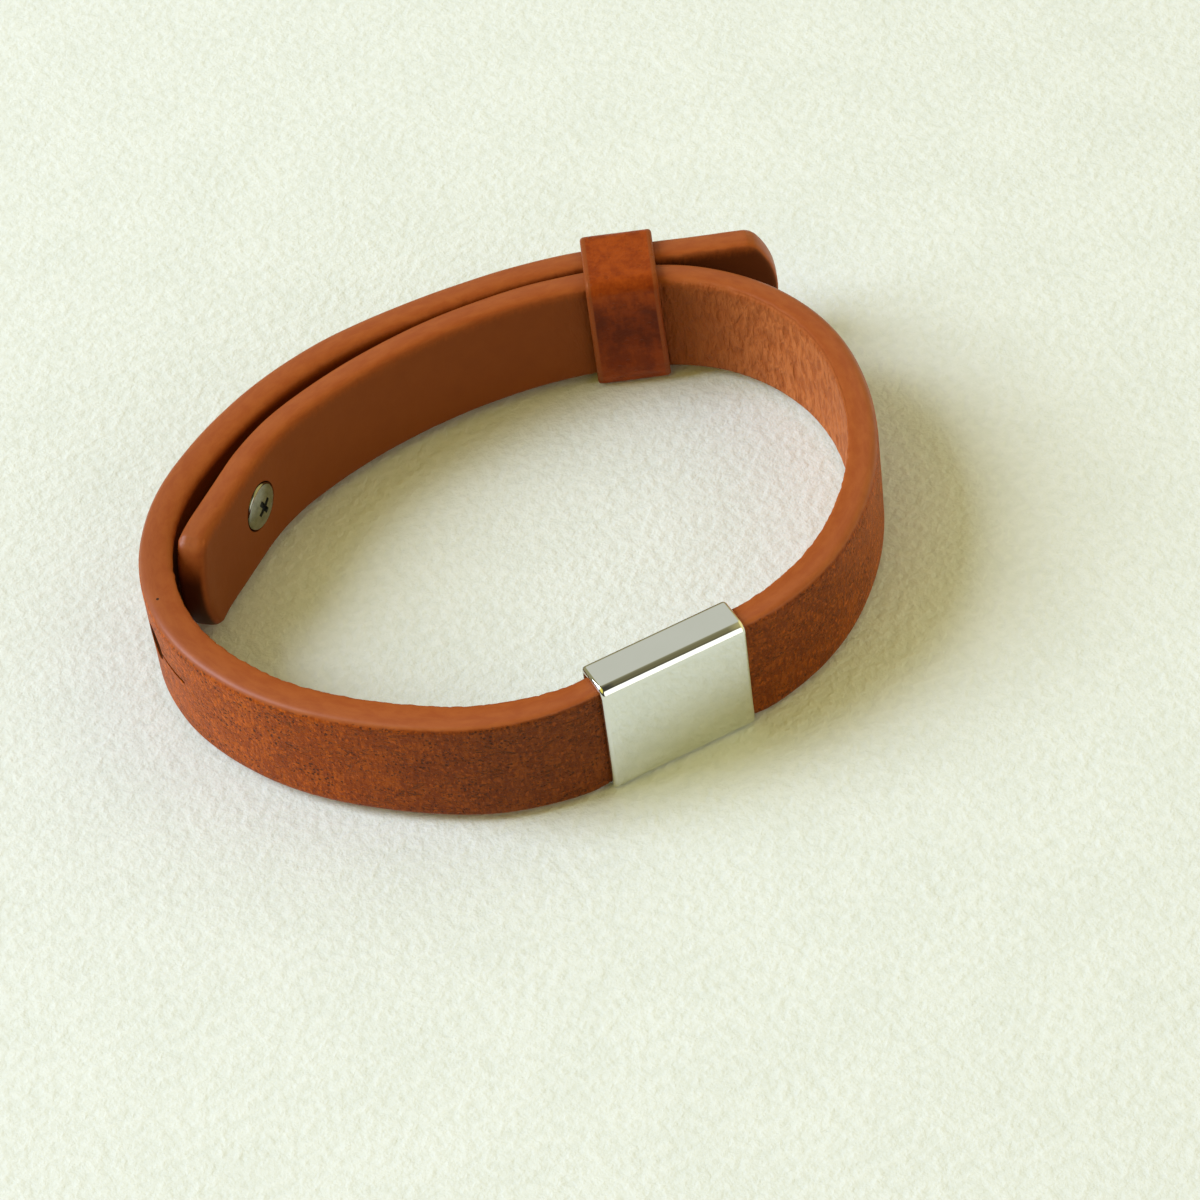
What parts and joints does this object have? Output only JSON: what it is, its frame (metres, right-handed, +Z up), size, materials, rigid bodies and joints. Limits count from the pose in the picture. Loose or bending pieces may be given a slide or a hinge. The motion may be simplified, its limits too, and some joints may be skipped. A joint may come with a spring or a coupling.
{
  "type": "bracelet",
  "caption": "Tan leather strap bracelet wound double at the back, with a polished metal slide, a leather keeper loop and a screw stud.",
  "frame": {"origin": "middle of the bounding box on the surface that the bracelet stands on", "axes": "+Z up along the wrist's axis; -Y towards the front, where the metal slide is; +X to the right, where the strap's outer end points"},
  "size_m": [0.0744, 0.0566, 0.0142],
  "materials": {
    "strap_leather": "satin",
    "keeper_leather": "satin",
    "polished_metal": "polished",
    "screw_metal": "satin"
  },
  "bodies": {
    "root": {"strap": "strap_leather", "slide": "polished_metal", "keeper": "keeper_leather", "screw": "screw_metal", "stud": "screw_metal"}
  },
  "joints": []
}
